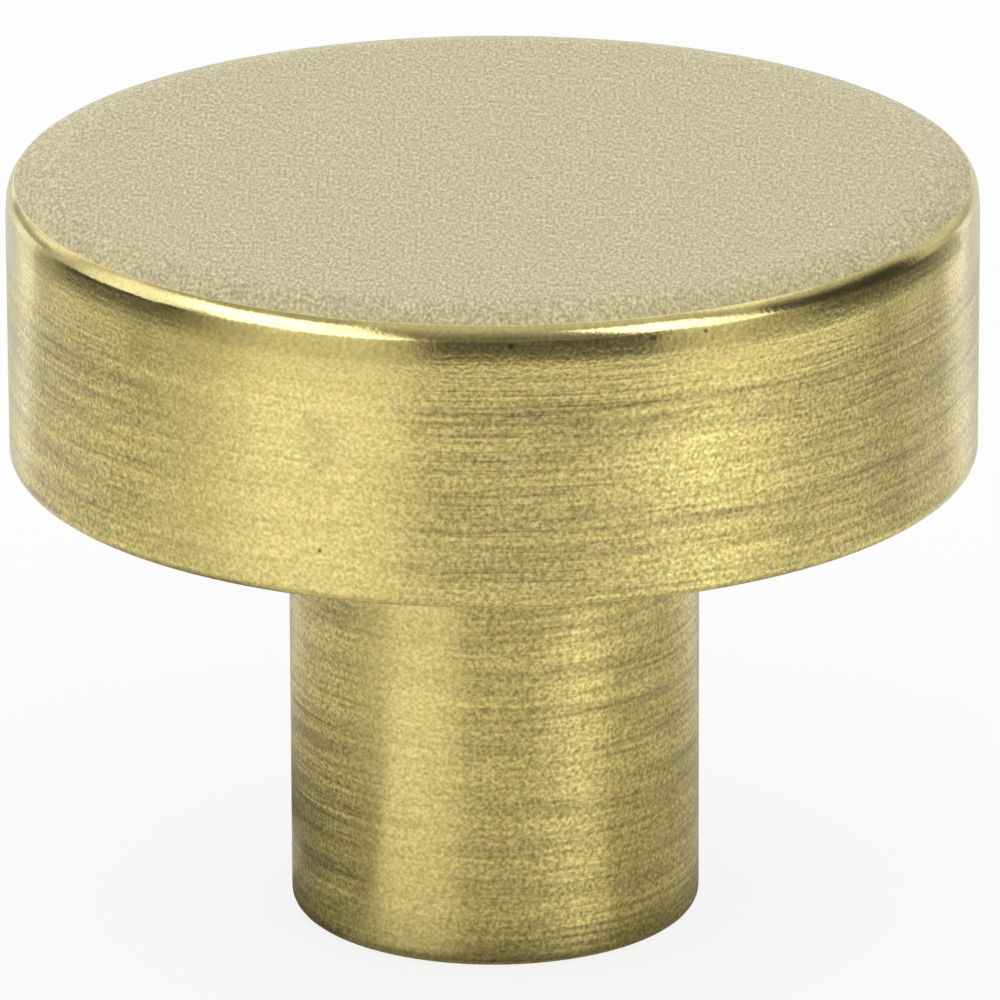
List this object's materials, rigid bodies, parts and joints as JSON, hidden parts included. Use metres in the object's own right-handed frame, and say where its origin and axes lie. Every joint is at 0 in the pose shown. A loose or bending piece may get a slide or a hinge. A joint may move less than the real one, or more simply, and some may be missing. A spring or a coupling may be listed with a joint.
{
  "type": "cabinet knob",
  "caption": "Turned brushed-brass cabinet knob: a flat disc head with a softly rounded top edge on a straight round stem, tapped in its foot for a machine screw.",
  "frame": {"origin": "centre of the foot face, where the knob meets the door or drawer front", "axes": "+Z along the knob's axis, from the foot to the flat top of the head; X and Y lie in the foot face, and the knob is round, so any direction in that face serves"},
  "size_m": [0.0318, 0.0318, 0.0254],
  "materials": {
    "brushed_brass": "lacquered brushed brass: fine lines round the head's side and the stem, a finely grained flat top, brighter burnished edges"
  },
  "bodies": {
    "root": {"knob": "brushed_brass"}
  },
  "joints": []
}
